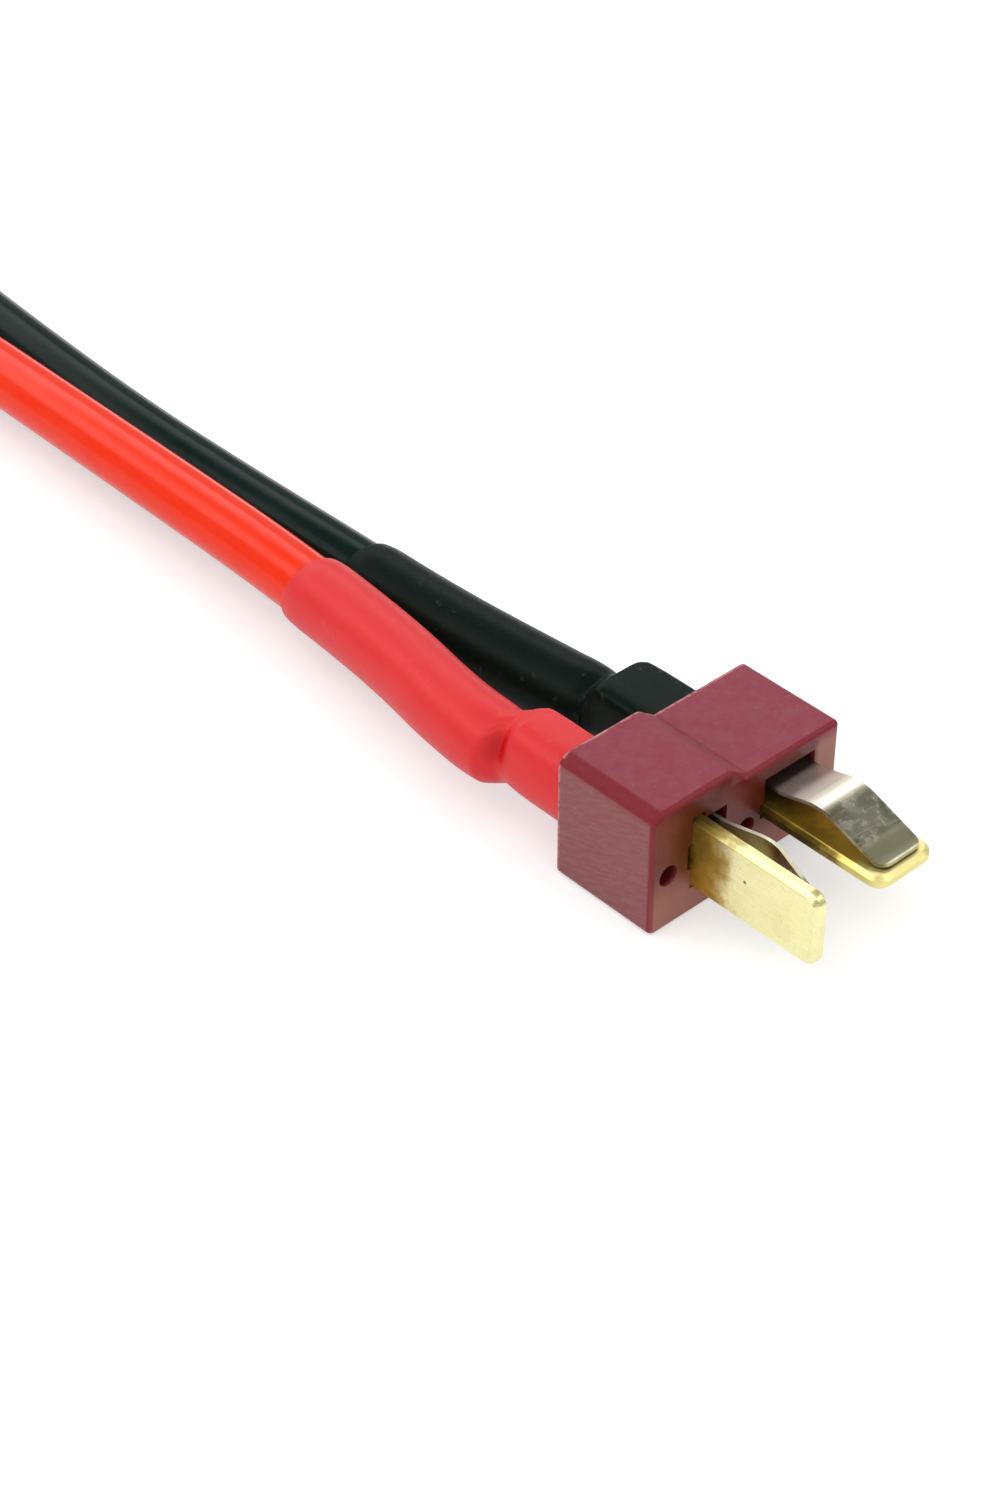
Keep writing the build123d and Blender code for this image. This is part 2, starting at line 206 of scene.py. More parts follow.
class TPlugColours(PropertyGroup):
    """Colours of the finishes, as linear values."""

    nylon: colour("Nylon", "Moulded housing", (0.246, 0.0175, 0.042))
    # Mottled and dusty places, and also painted sheen on the tall end and on the ramp
    nylon_haze_and_sheen: colour("Nylon haze", "Rubbed and dusty places of the housing", (0.255, 0.088, 0.082))
    # Painted shade on the rounded edges and in the crease at the ramp's foot
    nylon_edge_shade: colour("Deep nylon", "Clean rounded edges and the crease", (0.205, 0.004, 0.012))
    # Painted shade inside the pockets and core holes
    nylon_recess_shade: colour("Inner nylon", "Inside the pockets and core holes", (0.10, 0.003, 0.003))
    # Painted pale reflection of the floor on the mating face
    nylon_floor_reflection: colour("Nylon bloom", "Pale bloom on the mating face", (0.44, 0.225, 0.150))
    # Painted shade and painted reflection of the gold blades beside them on the mating face
    nylon_blade_shade: colour("Nylon soot", "Browned nylon beside the blades", (0.085, 0.010, 0.002))
    # Painted highlight along the rounded rear edges
    nylon_rear_highlight: colour("Nylon flash", "Thin ragged edges left by the mould", (0.70, 0.30, 0.27))
    gold: colour("Gold", "Plating of the blades", (0.93, 0.88, 0.48))
    # Deeper plating by the housing, and painted shade under the leaf springs
    gold_deep_and_shade: colour("Deep gold", "Plating by the housing and under the leaf springs", (0.62, 0.42, 0.060))
    gold_char: colour("Gold char", "Plating charred near the housing", (0.075, 0.048, 0.009))
    gold_rim: colour("Gold rim", "Plating of the lying blade's rim", (0.80, 0.66, 0.20))
    gold_stain: colour("Gold stain", "Smudges on the plating", (0.36, 0.25, 0.06))
    gold_fleck: colour("Gold fleck", "Dark fleck on the upright blade", (0.10, 0.08, 0.03))
    spring: colour("Spring", "Plating of the leaf springs", (0.74, 0.71, 0.58))
    # Smudges and dull cut edges, and a painted darker tone over the slope past the crown
    spring_stain_and_shade: colour("Spring stain", "Smudges on the leaf springs", (0.30, 0.295, 0.185))
    # Painted shade on the level toe of the leaf springs
    spring_toe_shade: colour("Spring toe", "Level toe of the leaf springs", (0.215, 0.205, 0.125))
    spring_rise: colour("Spring rise", "Leaf springs before their crown", (0.72, 0.66, 0.58))
    # Painted shade where a leaf spring enters its slot in the housing
    spring_root_shade: colour("Spring root", "Where a leaf spring leaves the housing", (0.07, 0.043, 0.036))
    red_sleeve: colour("Red sleeve", "Shrunk sleeve on the red wire", (0.73, 0.018, 0.021))
    red_sheen: colour("Red sheen", "Wrinkles of the red sleeve", (0.78, 0.028, 0.032))
    # Painted shade in the red sleeve's crease
    red_crease_shade: colour("Red crease", "Crease of the red sleeve", (0.56, 0.0, 0.001))
    black_sleeve: colour("Black sleeve", "Shrunk sleeve on the black wire", (0.0016, 0.0080, 0.0055))
    black_sheen: colour("Black sheen", "Wrinkles of the black sleeve", (0.003, 0.010, 0.007))
    red_rubber: colour("Red silicone", "Insulation of the red wire", (0.88, 0.028, 0.002))
    red_dust: colour("Red dust", "Dust on the red wire", (0.85, 0.045, 0.012))
    black_rubber: colour("Black silicone", "Insulation of the black wire", (0.0030, 0.0130, 0.0100))
    black_dust: colour("Black dust", "Dust on the black wire", (0.008, 0.024, 0.020))
    tin: colour("Tin", "Tinned strands and solder", (0.60, 0.59, 0.57))
    copper: colour("Copper", "Strands where the tin is thin", (0.72, 0.42, 0.26))


class TPlugStage(PropertyGroup):
    """Camera and light."""

    lens: FloatProperty(name="Lens", description="Focal length", default=72.0, unit="CAMERA")
    camera_place: FloatVectorProperty(
        name="Camera place", description="Where the camera stands",
        default=(-0.103179, -0.092885, 0.118432), subtype="TRANSLATION", size=3,
    )
    azimuth: FloatProperty(
        name="Azimuth", description="Turn of the camera about Z",
        default=math.radians(-42.49), subtype="ANGLE",
    )
    elevation: FloatProperty(
        name="Elevation", description="How steeply the camera looks down",
        default=math.radians(38.42), subtype="ANGLE",
    )
    key: FloatProperty(name="Key", description="Power of the soft lamp", default=0.22, unit="POWER")
    lamp_place: FloatVectorProperty(
        name="Lamp place", description="Where the soft lamp hangs", default=(-0.20, 0.10, 0.35),
        subtype="TRANSLATION", size=3,
    )
    lamp_width: length("Lamp width", "Width of the soft lamp", 0.30)
    fill: FloatProperty(name="Fill", description="Light from all round", default=1.0, min=0)
    glow: FloatProperty(name="Glow", description="White added to the seen floor", default=0.46, min=0)
    floor: colour("Floor", "Pale floor", (0.68, 0.68, 0.68))


# Shader helpers

class Shade:
    """Adds nodes to one tree and joins them. A value is a constant or another node's output."""

    def __init__(self, tree):
        self.tree = tree

    def node(self, kind, **values):
        """A node of that kind, with its settings."""
        made = self.tree.nodes.new(kind)
        for key, value in values.items():
            setattr(made, key, value)
        return made

    def feed(self, target, value):
        """Links an output to an input, or sets the input to a constant."""
        if isinstance(value, bpy.types.NodeSocket):
            self.tree.links.new(value, target)
        elif target.type == "RGBA":
            target.default_value = (*value, 1.0)
        else:
            target.default_value = value

    def math(self, operation, *values):
        """A Math node's result."""
        made = self.node("ShaderNodeMath", operation=operation)
        for socket, value in zip(made.inputs, values):
            self.feed(socket, value)
        return made.outputs[0]

    def chain(self, operation, first, *others):
        """Values joined one after another by the same operation."""
        for other in others:
            first = self.math(operation, first, other)
        return first

    def plus(self, *values):
        """The sum of values."""
        return self.chain("ADD", *values)

    def times(self, *values):
        """The product of values."""
        return self.chain("MULTIPLY", *values)

    def most(self, *values):
        """The greatest of values."""
        return self.chain("MAXIMUM", *values)

    def less(self, first, second):
        """The first value less the second."""
        return self.math("SUBTRACT", first, second)

    def ramp(self, value, low, high, start=0.0, end=1.0):
        """A smooth step from start, up to low, to end, from high on. Low may be the greater."""
        made = self.node("ShaderNodeMapRange", interpolation_type="SMOOTHSTEP", clamp=True)
        for name, number in (
            ("Value", value), ("From Min", low), ("From Max", high), ("To Min", start), ("To Max", end),
        ):
            self.feed(made.inputs[name], number)
        return made.outputs["Result"]

    def mix(self, factor, first, second):
        """Two colours mixed by a factor."""
        made = self.node("ShaderNodeMix", data_type="RGBA", clamp_factor=True)
        for name, value in (("Factor", factor), ("A", first), ("B", second)):
            self.feed(made.inputs[name], value)
        return made.outputs["Result"]

    def coats(self, base, *coats):
        """A colour under coats, each given as its mask and its colour."""
        for mask, coat in coats:
            base = self.mix(mask, base, coat)
        return base

    def noise(self, vector, scale, detail=3.0, roughness=0.5, distortion=0.0):
        """A noise value about 0.5. Its scale is in waves for each metre."""
        made = self.node("ShaderNodeTexNoise", noise_dimensions="3D")
        for name, value in (
            ("Vector", vector), ("Scale", scale), ("Detail", detail), ("Roughness", roughness),
            ("Distortion", distortion),
        ):
            self.feed(made.inputs[name], value)
        return made.outputs["Fac"]

    def stretch(self, vector, scale=(1, 1, 1), turn=(0, 0, 0)):
        """A vector turned and scaled by a Mapping node."""
        made = self.node("ShaderNodeMapping", vector_type="POINT")
        self.feed(made.inputs["Vector"], vector)
        made.inputs["Scale"].default_value = scale
        made.inputs["Rotation"].default_value = turn
        return made.outputs["Vector"]

    def place(self):
        """Object coordinates, in metres."""
        return self.node("ShaderNodeTexCoord").outputs["Object"]

    def millimetres(self, place):
        """A place in metres, in millimetres."""
        made = self.node("ShaderNodeVectorMath", operation="SCALE")
        self.feed(made.inputs[0], place)
        made.inputs["Scale"].default_value = 1 / MM
        return made.outputs["Vector"]

    def axes(self, vector):
        """The three parts of a vector."""
        made = self.node("ShaderNodeSeparateXYZ")
        self.feed(made.inputs[0], vector)
        return made.outputs

    def away_from(self, place, point):
        """How far a place lies from a point."""
        made = self.node("ShaderNodeVectorMath", operation="DISTANCE")
        self.feed(made.inputs[0], place)
        made.inputs[1].default_value = point
        return made.outputs["Value"]

    def outside(self, across, upward, box):
        """How far a point lies outside a rectangle, given as left, right, bottom and top: the greater of
        |x - middle| less half the width and |z - middle| less half the height."""
        left, right, bottom, top = box
        beside = self.math("ABSOLUTE", self.less(across, (left + right) / 2))
        over = self.math("ABSOLUTE", self.less(upward, (bottom + top) / 2))
        return self.most(self.less(beside, (right - left) / 2), self.less(over, (top - bottom) / 2))

    def bump(self, height, strength, millimetres):
        """A Bump node's normal, for a height of so many millimetres."""
        made = self.node("ShaderNodeBump")
        made.inputs["Strength"].default_value = strength
        made.inputs["Distance"].default_value = millimetres * MM
        self.feed(made.inputs["Height"], height)
        return made.outputs["Normal"]

    def group(self, name, **values):
        """A group node's outputs, with its inputs set."""
        made = self.node("ShaderNodeGroup")
        made.node_tree = bpy.data.node_groups[name]
        for key, value in values.items():
            self.feed(made.inputs[key.replace("_", " ")], value)
        return made.outputs

    def paint(self, surface, base, roughness, normal):
        """Gives a surface its colour, roughness and normal."""
        for name, value in (("Base Color", base), ("Roughness", roughness), ("Normal", normal)):
            self.feed(surface.inputs[name], value)


def new_group(name, numbers, outputs):
    """An empty node group: a Vector input, number inputs with their defaults, and number outputs."""
    tree = bpy.data.node_groups.new(name, "ShaderNodeTree")
    tree.interface.new_socket(name="Vector", in_out="INPUT", socket_type="NodeSocketVector")
    for label, default in numbers.items():
        socket = tree.interface.new_socket(name=label, in_out="INPUT", socket_type="NodeSocketFloat")
        socket.default_value = default
    for label in outputs:
        tree.interface.new_socket(name=label, in_out="OUTPUT", socket_type="NodeSocketFloat")
    shade = Shade(tree)
    return shade, shade.node("NodeGroupInput").outputs, shade.node("NodeGroupOutput").inputs


def make_grime_group():
    """Soft patches and specks over a surface: two noises of different size, each cut to a mask."""
    numbers = {"Patch Scale": 400.0, "Speck Scale": 3000.0, "Amount": 0.5}
    shade, given, out = new_group("soft_grime", numbers, ["Patches", "Specks"])
    patches = shade.noise(given["Vector"], given["Patch Scale"], detail=5.0, roughness=0.6)
    specks = shade.noise(given["Vector"], given["Speck Scale"], detail=2.0)
    shade.feed(out["Patches"], shade.times(shade.ramp(patches, 0.42, 0.68), given["Amount"]))
    shade.feed(out["Specks"], shade.times(shade.ramp(specks, 0.66, 0.74), given["Amount"]))


def make_scratch_group():
    """Fine scratches: a noise, which the vector draws out along them, as a mask and as a height."""
    shade, given, out = new_group("fine_scratches", {"Scale": 2000.0}, ["Value", "Height"])
    lines = shade.noise(given["Vector"], given["Scale"], detail=4.0, roughness=0.65)
    shade.feed(out["Value"], shade.ramp(lines, 0.3, 0.7))
    shade.feed(out["Height"], lines)


def new_material(name):
    """A material with its Shade helper, its Principled BSDF and its Object coordinates."""
    material = bpy.data.materials.new(name)
    material.use_nodes = True
    shade = Shade(material.node_tree)
    return material, shade, material.node_tree.nodes["Principled BSDF"], shade.place()


def set_plastic(surface, gloss, depth, spread):
    """How glossy a plastic is, how much light goes under its skin, and how far each colour spreads there."""
    surface.inputs["Specular IOR Level"].default_value = gloss
    surface.inputs["Subsurface Weight"].default_value = depth
    surface.inputs["Subsurface Radius"].default_value = spread
    surface.inputs["Subsurface Scale"].default_value = SKIN_DEPTH


def set_metal(surface):
    """Makes a surface bare metal."""
    surface.inputs["Metallic"].default_value = 1.0


def box_in_mm(node):
    """The lowest and highest corners of a CAD node, in millimetres."""
    return [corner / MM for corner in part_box(node)]


# Finishes: their masks are worked out in millimetres

def nylon_material(colours):
    """Deep red nylon with a satin, faintly mottled skin. The tall end has fine scoring under a painted
    greyish sheen, and painted shade on its rounded edges. The ramp has a painted paler sheen and painted
    shade in the crease at its foot. The mating face has a painted pale reflection that turns to painted
    brown shade and reflection beside the blades. The pockets have painted shade, and a painted pale
    highlight runs along the rear edges."""
    material, shade, surface, place = new_material("red_nylon")
    x, y, z = shade.axes(shade.millimetres(place))
    low, high = box_in_mm("housing")
    grain = shade.noise(place, 3400.0, roughness=0.6)
    mottle = shade.noise(place, 900.0, detail=4.0, roughness=0.65)
    ragged = shade.noise(place, 1500.0, detail=4.0, roughness=0.7)
    grime = shade.group("soft_grime", Vector=place, Patch_Scale=900.0, Speck_Scale=1900.0, Amount=0.4)
    turned = shade.stretch(place, turn=(SCORING_TILT, 0.0, 0.0))
    lines = shade.group("fine_scratches", Vector=shade.stretch(turned, scale=(1, 0.18, 1)), Scale=4200.0)

    # the tall end, the top edges and the ramp; the rounded edges and the crease get painted shade
    top = shade.ramp(x, RAMP_TOP_X, RAMP_FOOT_X, high.z, high.z - STEP)
    under_top = shade.less(top, z)
    tall_edge = shade.times(shade.ramp(x, low.x + 0.98, low.x + 0.74), shade.ramp(under_top, 0.68, 0.48))
    tall_end = shade.times(shade.ramp(x, low.x + 0.14, low.x + 0.03), shade.less(1.0, tall_edge))
    # Painted greyish sheen over the whole tall end, streaked by its scoring
    end_sheen_and_scoring = shade.times(
        tall_end, shade.ramp(lines["Value"], 0.0, 1.0, 0.54, 0.98),
        shade.ramp(y, low.y + 0.14, low.y + 0.42),
    )
    haze_and_sheen = shade.most(end_sheen_and_scoring, shade.ramp(mottle, 0.35, 0.75, 0.0, 0.27), grime["Specks"])
    front_edge = shade.times(shade.ramp(y, low.y + 0.40, low.y + 0.20), shade.ramp(under_top, 0.45, 0.25))
    corner_edge = shade.times(
        shade.ramp(y, low.y + 0.36, low.y + 0.20, 0.0, 0.8), shade.ramp(x, low.x + 0.36, low.x + 0.20)
    )
    ramp_face = shade.times(
        shade.ramp(x, RAMP_TOP_X - 0.2, RAMP_TOP_X + 0.1), shade.ramp(x, RAMP_FOOT_X, RAMP_FOOT_X - 0.15),
        shade.ramp(z, high.z - STEP - 0.05, high.z - STEP + 0.05),
    )
    crease = shade.times(
        shade.ramp(shade.math("ABSOLUTE", shade.less(x, RAMP_FOOT_X)), 0.15, 0.05),
        shade.ramp(z, high.z - STEP - 0.3, high.z - STEP - 0.1),
    )
    # Painted shade: deeper red along the rounded edges and in the crease
    deep = shade.times(shade.most(tall_edge, front_edge, corner_edge, crease), 0.85)

    # the mating face: near is how far a place is from either blade, with a soft edge
    mating_face = shade.ramp(y, low.y + 0.24, low.y + 0.06)
    upright, flat = box_in_mm("upright_blade"), box_in_mm("flat_blade")
    by_upright = shade.outside(x, z, (upright[0].x, upright[1].x, *UPRIGHT_SHADE_HEIGHTS))
    by_flat = shade.outside(x, z, (*FLAT_SHADE_SIDES, flat[0].z, FLAT_SHADE_TOP))
    soft = shade.times(shade.less(mottle, 0.5), 0.8)
    near = shade.plus(shade.math("MINIMUM", by_upright, by_flat), soft)
    right_end = shade.ramp(x, 5.5, 6.3)
    bare = shade.most(shade.ramp(near, 0.5, 1.8, 0.0, 0.36), right_end, shade.ramp(z, 5.6, 3.0, 0.0, 0.92))
    # Painted pale reflection of the floor, away from the blades
    face_reflection = shade.times(mating_face, shade.ramp(under_top, 0.25, 1.3), bare, 0.58)
    # Painted brown shade and reflection of the blades beside them
    browned = shade.times(
        mating_face, shade.ramp(near, 0.0, 2.4, 0.96, 0.62), shade.ramp(z, 1.6, 4.6),
        shade.less(1.0, right_end),
    )

    # painted shade in the pockets and core holes, and a painted pale highlight along the rear edges
    inner = shade.times(
        shade.ramp(shade.outside(x, z, (low.x, high.x, low.z, high.z)), -0.3, -0.5),
        shade.ramp(under_top, 0.3, 0.5), shade.ramp(y, low.y + 0.02, low.y + 0.4),
        shade.ramp(y, high.y - 0.05, high.y - 0.4, 0.0, 0.85),
    )
    top_or_end = shade.most(shade.ramp(under_top, 0.30, 0.18), tall_end)
    # Ragged painted highlight along the rear edges
    rear_highlight = shade.times(
        shade.ramp(y, high.y - 0.34, high.y - 0.16), top_or_end, shade.ramp(ragged, 0.36, 0.60), 0.7
    )

    base = shade.coats(
        colours.nylon, (haze_and_sheen, colours.nylon_haze_and_sheen), (face_reflection, colours.nylon_floor_reflection),
        # The ramp face takes a painted paler sheen
        (browned, colours.nylon_blade_shade), (shade.times(ramp_face, 0.30), colours.nylon_haze_and_sheen),
        (deep, colours.nylon_edge_shade), (inner, colours.nylon_recess_shade), (rear_highlight, colours.nylon_rear_highlight),
    )
    skin = shade.plus(
        shade.ramp(grain, 0.2, 0.8, 0.36, 0.48), shade.times(mating_face, -0.06),
        shade.times(tall_edge, 0.18), shade.times(ramp_face, 0.30),
    )
    fine = shade.plus(grain, shade.times(mottle, 0.6))
    fine = shade.times(fine, shade.ramp(mating_face, 0.0, 1.0, 1.0, 0.25))
    height = shade.plus(shade.times(lines["Height"], tall_end, 2.0), fine)
    shade.paint(surface, base, skin, shade.bump(height, 0.30, 0.03))
    set_plastic(surface, 0.34, 0.10, (1.0, 0.2, 0.15))
    return material


def blade_material(colours):
    """Gold plating: pale on the open faces, deeper and duller near the housing and on the lying blade's rim,
    and duller under the leaf spring, with painted shade there. That rim and the upright blade's top edge are
    charred near the housing. Fine lines run along the blades, a dark one under the upright blade's bevel,
    with smudges and one dark fleck."""
    material, shade, surface, place = new_material("gold_plating")
    at = shade.millimetres(place)
    x, y, z = shade.axes(at)
    flat_low, flat_high = box_in_mm("flat_blade")
    top = box_in_mm("upright_blade")[1].z
    face = box_in_mm("housing")[0].y
    grime = shade.group("soft_grime", Vector=place, Patch_Scale=620.0, Speck_Scale=2300.0, Amount=0.10)
    lines = shade.group("fine_scratches", Vector=shade.stretch(place, scale=(1, 0.05, 1)), Scale=6000.0)
    cloud = shade.noise(place, 620.0, detail=5.0, roughness=0.6)
    ragged = shade.plus(y, shade.times(shade.less(cloud, 0.5), 3.6))

    lying = shade.ramp(x, -0.5, 0.5)
    lying_root = shade.times(lying, shade.ramp(ragged, face - 7.2, face - 4.2))
    root = shade.most(shade.ramp(ragged, face - 3.4, face - 1.5), lying_root)
    # Painted shade on the blade under the leaf spring
    under_leaf = shade.times(
        shade.ramp(z, flat_high.z - 0.1, flat_high.z), shade.ramp(x, flat_low.x, flat_low.x + 0.4),
        shade.ramp(y, face - 8.0, face - 6.5),
    )
    mustard = shade.times(lying, shade.ramp(y, face - 9.2, face - 6.5, 0.55, 1.0))
    browned = shade.times(root, shade.ramp(cloud, 0.38, 0.62, 0.0, 0.65))
    charred = shade.times(lying_root, shade.ramp(cloud, 0.40, 0.60, 0.80, 1.0), shade.less(1.0, under_leaf))
    top_edge = shade.ramp(z, top - 0.3, top - 0.2)
    smoked = shade.times(shade.ramp(ragged, face - 4.8, face - 1.6), top_edge, 0.7)
    from_bevel = shade.math("ABSOLUTE", shade.less(z, top - 0.28))
    bevel = shade.times(shade.ramp(from_bevel, 0.02, 0.09, 0.55, 0.0), shade.less(1.0, lying))
    fleck = shade.ramp(shade.away_from(at, GOLD_FLECK), 0.07, 0.16, 0.85, 0.0)

    base = shade.coats(
        colours.gold, (mustard, colours.gold_rim), (shade.most(root, under_leaf), colours.gold_deep_and_shade),
        (browned, colours.gold_stain), (charred, colours.gold_char),
        (shade.times(top_edge, 0.25), colours.gold_rim), (smoked, colours.gold_char),
        (bevel, colours.gold_stain), (grime["Patches"], colours.gold_stain),
        (grime["Specks"], colours.gold_stain), (fleck, colours.gold_fleck),
    )
    dull = shade.most(
        shade.times(root, 0.20), shade.times(under_leaf, 0.12), shade.times(lying, 0.14),
        shade.times(charred, 0.35), shade.times(top_edge, 0.08),
    )
    roughness = shade.plus(dull, shade.ramp(lines["Value"], 0.0, 1.0, 0.20, 0.30))
    height = shade.plus(lines["Height"], shade.times(cloud, 1.5))
    shade.paint(surface, base, roughness, shade.bump(height, 0.10, 0.03))
    set_metal(surface)
    return material


def spring_material(colours):
    """Nickel-like plating of the leaf springs: painted shade where a spring leaves the housing, warm up to
    its crown, with soft smudges over a painted darker tone and faint scratches past the crown, a dull toe
    with painted shade and dull cut edges."""
    material, shade, surface, place = new_material("spring_plating")
    x, y, z = shade.axes(shade.millimetres(place))
    face = box_in_mm("housing")[0].y
    edge = box_in_mm("upright_leaf_spring")[1].z
    cloud = shade.noise(place, 560.0, detail=5.0, roughness=0.62, distortion=0.4)
    grime = shade.group("soft_grime", Vector=place, Patch_Scale=1400.0, Speck_Scale=3000.0, Amount=0.5)
    lines = shade.group("fine_scratches", Vector=shade.stretch(place, scale=(0.2, 1, 1)), Scale=3200.0)

    # Past the crown the slope gets a painted darker tone, with soft smudges
    slope = shade.ramp(y, face - 3.7, face - 4.6)
    slope_smudges_and_shade = shade.times(slope, shade.ramp(cloud, 0.66, 0.36, 0.60, 1.0))
    marks = shade.most(grime["Patches"], shade.ramp(lines["Value"], 0.5, 1.0, 0.0, 0.3))
    # Painted shade on the level toe
    toe = shade.times(shade.ramp(y, face - 7.0, face - 7.6, 0.0, 0.9), shade.ramp(y, face - 8.9, face - 8.7))
    # Painted shade where the spring leaves the housing
    root = shade.ramp(y, face - 0.85, face - 0.10)
    cut_edge = shade.times(shade.ramp(z, edge - 0.08, edge - 0.02), shade.ramp(x, 0.0, -1.0, 0.0, 0.55))

    base = shade.coats(
        colours.spring, (slope_smudges_and_shade, colours.spring_stain_and_shade), (shade.times(marks, slope), colours.spring),
        (toe, colours.spring_toe_shade), (shade.ramp(y, face - 3.2, face - 2.2), colours.spring_rise),
        (root, colours.spring_root_shade), (cut_edge, colours.spring_stain_and_shade),
    )
    roughness = shade.plus(
        shade.ramp(marks, 0.0, 0.5, 0.20, 0.25), shade.times(root, 0.3), shade.times(toe, 0.25),
        shade.ramp(y, face - 3.7, face - 2.7, 0.03, 0.22),
    )
    shade.paint(surface, base, roughness, shade.bump(lines["Height"], 0.03, 0.02))
    set_metal(surface)
    return material


def solder_material(colours):
    """Dull solder with coppery smudges and specks, and fine lines where it ran."""
    material, shade, surface, place = new_material("dull_solder")
    grime = shade.group("soft_grime", Vector=place, Patch_Scale=900.0, Speck_Scale=1500.0, Amount=0.2)
    lines = shade.group("fine_scratches", Vector=shade.stretch(place, scale=(1, 0.06, 1)), Scale=5000.0)
    base = shade.coats(colours.tin, (grime["Patches"], colours.copper), (grime["Specks"], colours.copper))
    roughness = shade.ramp(grime["Patches"], 0.0, 0.6, 0.38, 0.56)
    shade.paint(surface, base, roughness, shade.bump(lines["Height"], 0.12, 0.02))
    set_metal(surface)
    return material


def sleeve_material(name, tint, sheen, roughness, gloss, crease_shades):
    """Shrunk sleeve: smooth skin with faint long wrinkles, a soft waxy gloss, sparse pale dust, and painted
    shade that deepens its colour where it is creased, each crease given as its place and reach in
    millimetres and its colour."""
    material, shade, surface, place = new_material(name)
    at = shade.millimetres(place)
    wrinkles = shade.noise(shade.stretch(place, scale=(1, 0.22, 1)), 900.0, detail=4.0, roughness=0.55)
    skin = shade.noise(place, 5200.0, detail=2.0)
    grime = shade.group("soft_grime", Vector=place, Patch_Scale=300.0, Speck_Scale=1300.0, Amount=0.5)
    base = shade.coats(
        tint, (shade.ramp(wrinkles, 0.35, 0.75, 0.0, 0.35), sheen),
        # painted shade deepens the colour in each crease
        *(
            (shade.ramp(shade.away_from(at, point), 0.35 * reach, 1.6 * reach, 0.9, 0.0), deep)
            for point, reach, deep in crease_shades
        ),
        (shade.times(grime["Specks"], 0.6), [0.75 * part + 0.06 for part in sheen]),
    )
    height = shade.plus(wrinkles, shade.times(skin, 0.15))
    skin = shade.ramp(skin, 0.3, 0.7, roughness, roughness + 0.1)
    shade.paint(surface, base, skin, shade.bump(height, 0.22, 0.06))
    set_plastic(surface, gloss, 0.12, (1.0, 0.2, 0.2))
    return material


def silicone_material(name, tint, dust, gloss):
    """Silicone insulation: satin, with faint dust and drawn lines along the wire."""
    material, shade, surface, place = new_material(name)
    grime = shade.group("soft_grime", Vector=place, Patch_Scale=260.0, Speck_Scale=2600.0, Amount=0.35)
    drawn = shade.noise(shade.stretch(place, scale=(1, 0.05, 1)), 2600.0, detail=2.0)
    base = shade.mix(grime["Patches"], tint, dust)
    shade.paint(surface, base, shade.ramp(drawn, 0.3, 0.7, 0.13, 0.20), shade.bump(drawn, 0.08, 0.04))
    set_plastic(surface, gloss, 0.08, (1.0, 0.2, 0.1))
    return material


def tinned_material(colours):
    """Tinned strands: bright tin that thins to copper in the hollows, with small solder pits."""
    material, shade, surface, place = new_material("tinned_strands")
    pits = shade.noise(place, 3200.0, detail=4.0)
    thin = shade.noise(place, 700.0)
    base = shade.mix(shade.ramp(thin, 0.55, 0.75, 0.0, 0.5), colours.tin, colours.copper)
    shade.paint(surface, base, shade.ramp(pits, 0.3, 0.7, 0.25, 0.5), shade.bump(pits, 0.3, 0.06))
    set_metal(surface)
    return material


# Shapes

def wire_line(name, route):
    """The smooth line of a wire: a NURBS curve of order 3 with the route's points as its control points."""
    data = bpy.data.curves.new(name, "CURVE")
    data.dimensions = "3D"
    spline = data.splines.new("NURBS")
    spline.points.add(len(route) - 1)
    spline.points.foreach_set("co", np.column_stack((route, np.ones(len(route)))).ravel())
    spline.order_u = 3
    spline.use_endpoint_u = True
    spline.resolution_u = 12
    return data


def line_points(name, route):
    """The points that a wire's NURBS line runs through, read from its evaluated curve."""
    curve = bpy.data.objects.new(name, wire_line(name, route))
    bpy.context.scene.collection.objects.link(curve)
    bpy.context.view_layer.update()
    evaluated = curve.evaluated_get(bpy.context.evaluated_depsgraph_get())
    mesh = bpy.data.meshes.new_from_object(evaluated)
    points = np.empty(len(mesh.vertices) * 3, np.float32)
    mesh.vertices.foreach_get("co", points)
    data = curve.data
    bpy.data.objects.remove(curve)
    bpy.data.curves.remove(data)
    bpy.data.meshes.remove(mesh)
    points = points.reshape(-1, 3).astype(float)
    return points if points[0, 1] < points[-1, 1] else points[::-1]


def grid_mesh(name, points, joined):
    """A closed mesh on a grid of rows of points, each row a ring. The last row is joined to the first, or
    both get a cap."""
    rows, columns = points.shape[:2]
    index = np.arange(rows * columns).reshape(rows, columns)
    here = index if joined else index[:-1]
    following = np.roll(index, -1, axis=0) if joined else index[1:]
    quads = np.stack((here, np.roll(here, -1, axis=1), np.roll(following, -1, axis=1), following), axis=-1)
    faces = quads.reshape(-1, 4).tolist()
    if not joined:
        faces += [index[0][::-1].tolist(), index[-1].tolist()]
    mesh = bpy.data.meshes.new(name)
    mesh.from_pydata(points.reshape(-1, 3), [], faces)
    mesh.validate()
    mesh.polygons.foreach_set("use_smooth", np.ones(len(mesh.polygons), bool))
    return mesh


